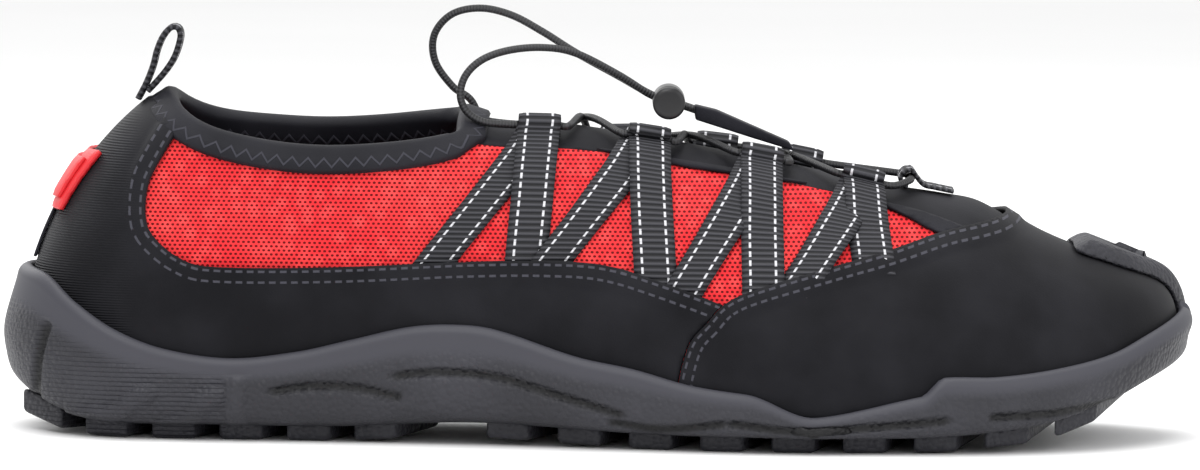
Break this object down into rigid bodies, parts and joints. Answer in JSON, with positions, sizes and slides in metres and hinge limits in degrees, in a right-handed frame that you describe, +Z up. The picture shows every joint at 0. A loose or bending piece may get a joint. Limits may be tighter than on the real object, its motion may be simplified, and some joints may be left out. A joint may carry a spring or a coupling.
{
  "type": "water shoe",
  "caption": "Right water shoe: stretch upper in a rubber cup sole, elastic cord through webbing straps, heel pull loop.",
  "frame": {"origin": "on the floor, under the middle of the shoe's box", "axes": "+X along the shoe from heel to toe, +Z up, -Y to the outer side of the right foot"},
  "size_m": [0.2863, 0.1042, 0.102],
  "materials": {
    "sole_rubber": "matte stippled",
    "lining": "knitted",
    "mesh_cloth": "spacer mesh",
    "neoprene": "knit faced foam",
    "binding": "folded tape",
    "webbing": "ribbed webbing",
    "cord": "braided elastic",
    "lock_plastic": "satin",
    "badge_rubber": "soft moulded"
  },
  "bodies": {
    "shoe": {"outsole": "sole_rubber", "insole": "lining", "upper": "mesh_cloth", "tongue": "neoprene", "heel_foxing": "neoprene", "toe_overlay": "neoprene", "collar_binding": "binding", "eyestay_lateral": "binding", "eyestay_medial": "binding", "strap_lateral_1": "webbing", "strap_lateral_2": "webbing", "strap_lateral_3": "webbing", "strap_lateral_4": "webbing", "strap_medial_1": "webbing", "strap_medial_2": "webbing", "strap_medial_3": "webbing", "strap_medial_4": "webbing", "lace_keeper": "webbing", "lace_bars": "cord", "lace_loop_lateral": "cord", "lace_loop_medial": "cord", "cord_lock_barrel": "lock_plastic", "pull_tab": "binding", "back_strap": "webbing", "heel_badge": "badge_rubber", "pull_loop": "webbing"},
    "plunger": {"cord_lock_plunger": "lock_plastic"}
  },
  "joints": [
    {"name": "plunger_press", "type": "slide", "parent": "shoe", "child": "plunger", "axis": [0, 1, 0], "range_m": [0, 0.0025], "stiffness_N_per_m": 600}
  ]
}
